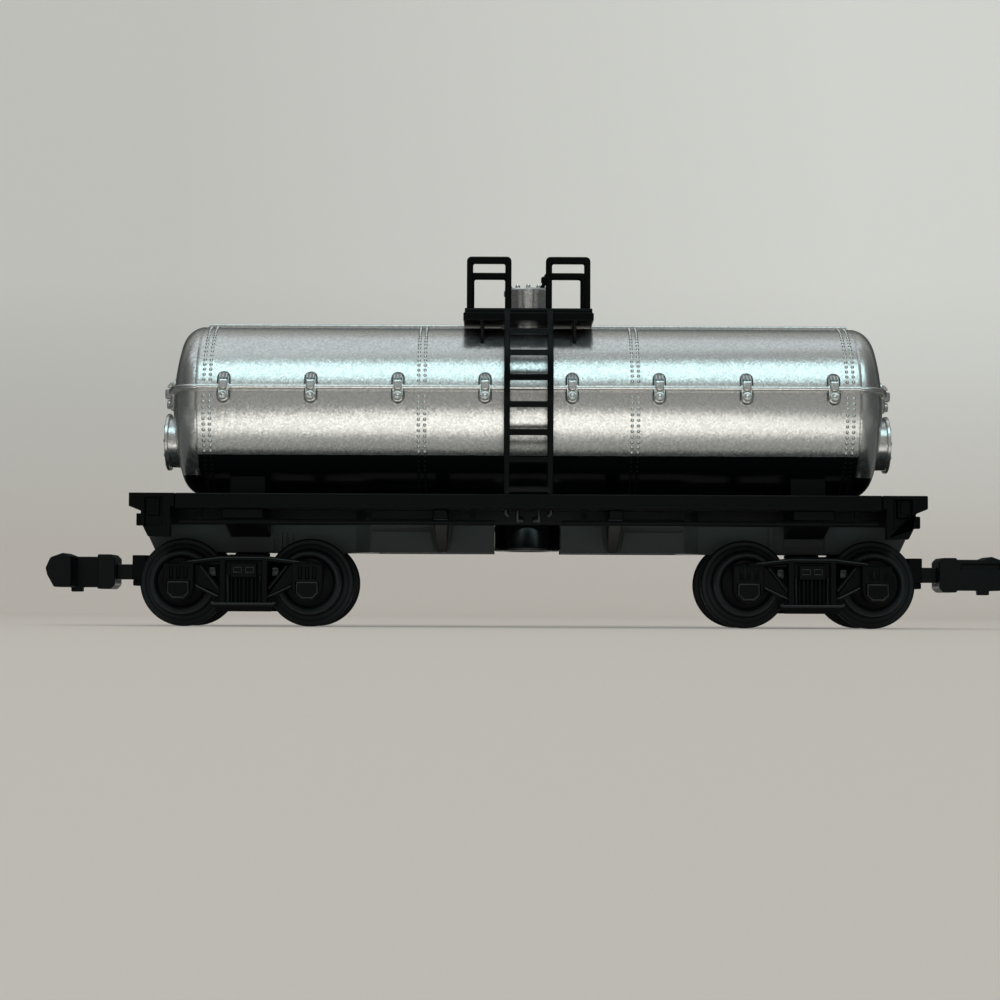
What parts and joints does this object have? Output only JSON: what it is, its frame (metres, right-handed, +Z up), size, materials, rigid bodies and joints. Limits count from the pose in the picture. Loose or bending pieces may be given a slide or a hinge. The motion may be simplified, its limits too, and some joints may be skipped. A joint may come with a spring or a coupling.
{
  "type": "model railway tank car",
  "caption": "Small-scale toy tank car: round silver tank with a centre dome, railed platform and ladders, on a black frame with swivelling trucks and box-hook couplers.",
  "frame": {"origin": "centre of the car's footprint, on the floor under the wheel flanges", "axes": "+X along the car, +Y to its far side, +Z up"},
  "size_m": [0.0822, 0.0176, 0.0313],
  "materials": {
    "silver_paint": "silver paint with fine flake",
    "black_plastic": "satin moulded black",
    "wheel_plastic": "satin moulded dark grey"
  },
  "bodies": {
    "root": {"tank_shell": "silver_paint", "tank_head_a": "silver_paint", "tank_head_b": "silver_paint", "dome": "silver_paint", "dome_cover": "silver_paint", "dome_platform": "black_plastic", "railing_near_a": "black_plastic", "railing_near_b": "black_plastic", "railing_far_a": "black_plastic", "railing_far_b": "black_plastic", "ladder_near": "black_plastic", "ladder_far": "black_plastic", "running_board_near": "black_plastic", "running_board_far": "black_plastic", "centre_sill": "black_plastic", "bottom_outlet": "black_plastic", "crossbearer_a": "black_plastic", "crossbearer_b": "black_plastic", "body_bolster_a": "black_plastic", "body_bolster_b": "black_plastic", "saddle_a": "black_plastic", "saddle_b": "black_plastic", "kingpin_a": "black_plastic", "kingpin_b": "black_plastic", "end_platform_a": "black_plastic", "end_platform_b": "black_plastic", "side_pipe_near": "black_plastic", "side_pipe_far": "black_plastic"},
    "truck_a": {"truck_bolster_a": "black_plastic", "pocket_cover_a": "black_plastic", "truck_side_near_a": "black_plastic", "truck_side_far_a": "black_plastic"},
    "axle_inner_a": {"wheelset_inner_a": "wheel_plastic"},
    "axle_outer_a": {"wheelset_outer_a": "wheel_plastic"},
    "coupler_a": {"coupler_a": "black_plastic"},
    "truck_b": {"truck_bolster_b": "black_plastic", "pocket_cover_b": "black_plastic", "truck_side_near_b": "black_plastic", "truck_side_far_b": "black_plastic"},
    "axle_inner_b": {"wheelset_inner_b": "wheel_plastic"},
    "axle_outer_b": {"wheelset_outer_b": "wheel_plastic"},
    "coupler_b": {"coupler_b": "black_plastic"}
  },
  "joints": [
    {"name": "truck_swivel_a", "type": "hinge", "parent": "root", "child": "truck_a", "pos_m": [-0.0236, 0, 0.006], "axis": [0, 0, 1], "range_deg": [-12, 12]},
    {"name": "axle_spin_inner_a", "type": "hinge", "parent": "truck_a", "child": "axle_inner_a", "pos_m": [-0.01827, 0, 0.0037], "axis": [0, 1, 0], "continuous": true},
    {"name": "axle_spin_outer_a", "type": "hinge", "parent": "truck_a", "child": "axle_outer_a", "pos_m": [-0.02893, 0, 0.0037], "axis": [0, 1, 0], "continuous": true},
    {"name": "coupler_swing_a", "type": "hinge", "parent": "truck_a", "child": "coupler_a", "pos_m": [-0.0315, 0, 0.0046], "axis": [0, 0, 1], "range_deg": [-12, 12]},
    {"name": "truck_swivel_b", "type": "hinge", "parent": "root", "child": "truck_b", "pos_m": [0.0236, 0, 0.006], "axis": [0, 0, 1], "range_deg": [-12, 12]},
    {"name": "axle_spin_inner_b", "type": "hinge", "parent": "truck_b", "child": "axle_inner_b", "pos_m": [0.01827, 0, 0.0037], "axis": [0, 1, 0], "continuous": true},
    {"name": "axle_spin_outer_b", "type": "hinge", "parent": "truck_b", "child": "axle_outer_b", "pos_m": [0.02893, 0, 0.0037], "axis": [0, 1, 0], "continuous": true},
    {"name": "coupler_swing_b", "type": "hinge", "parent": "truck_b", "child": "coupler_b", "pos_m": [0.0315, 0, 0.0046], "axis": [0, 0, 1], "range_deg": [-12, 12]}
  ]
}
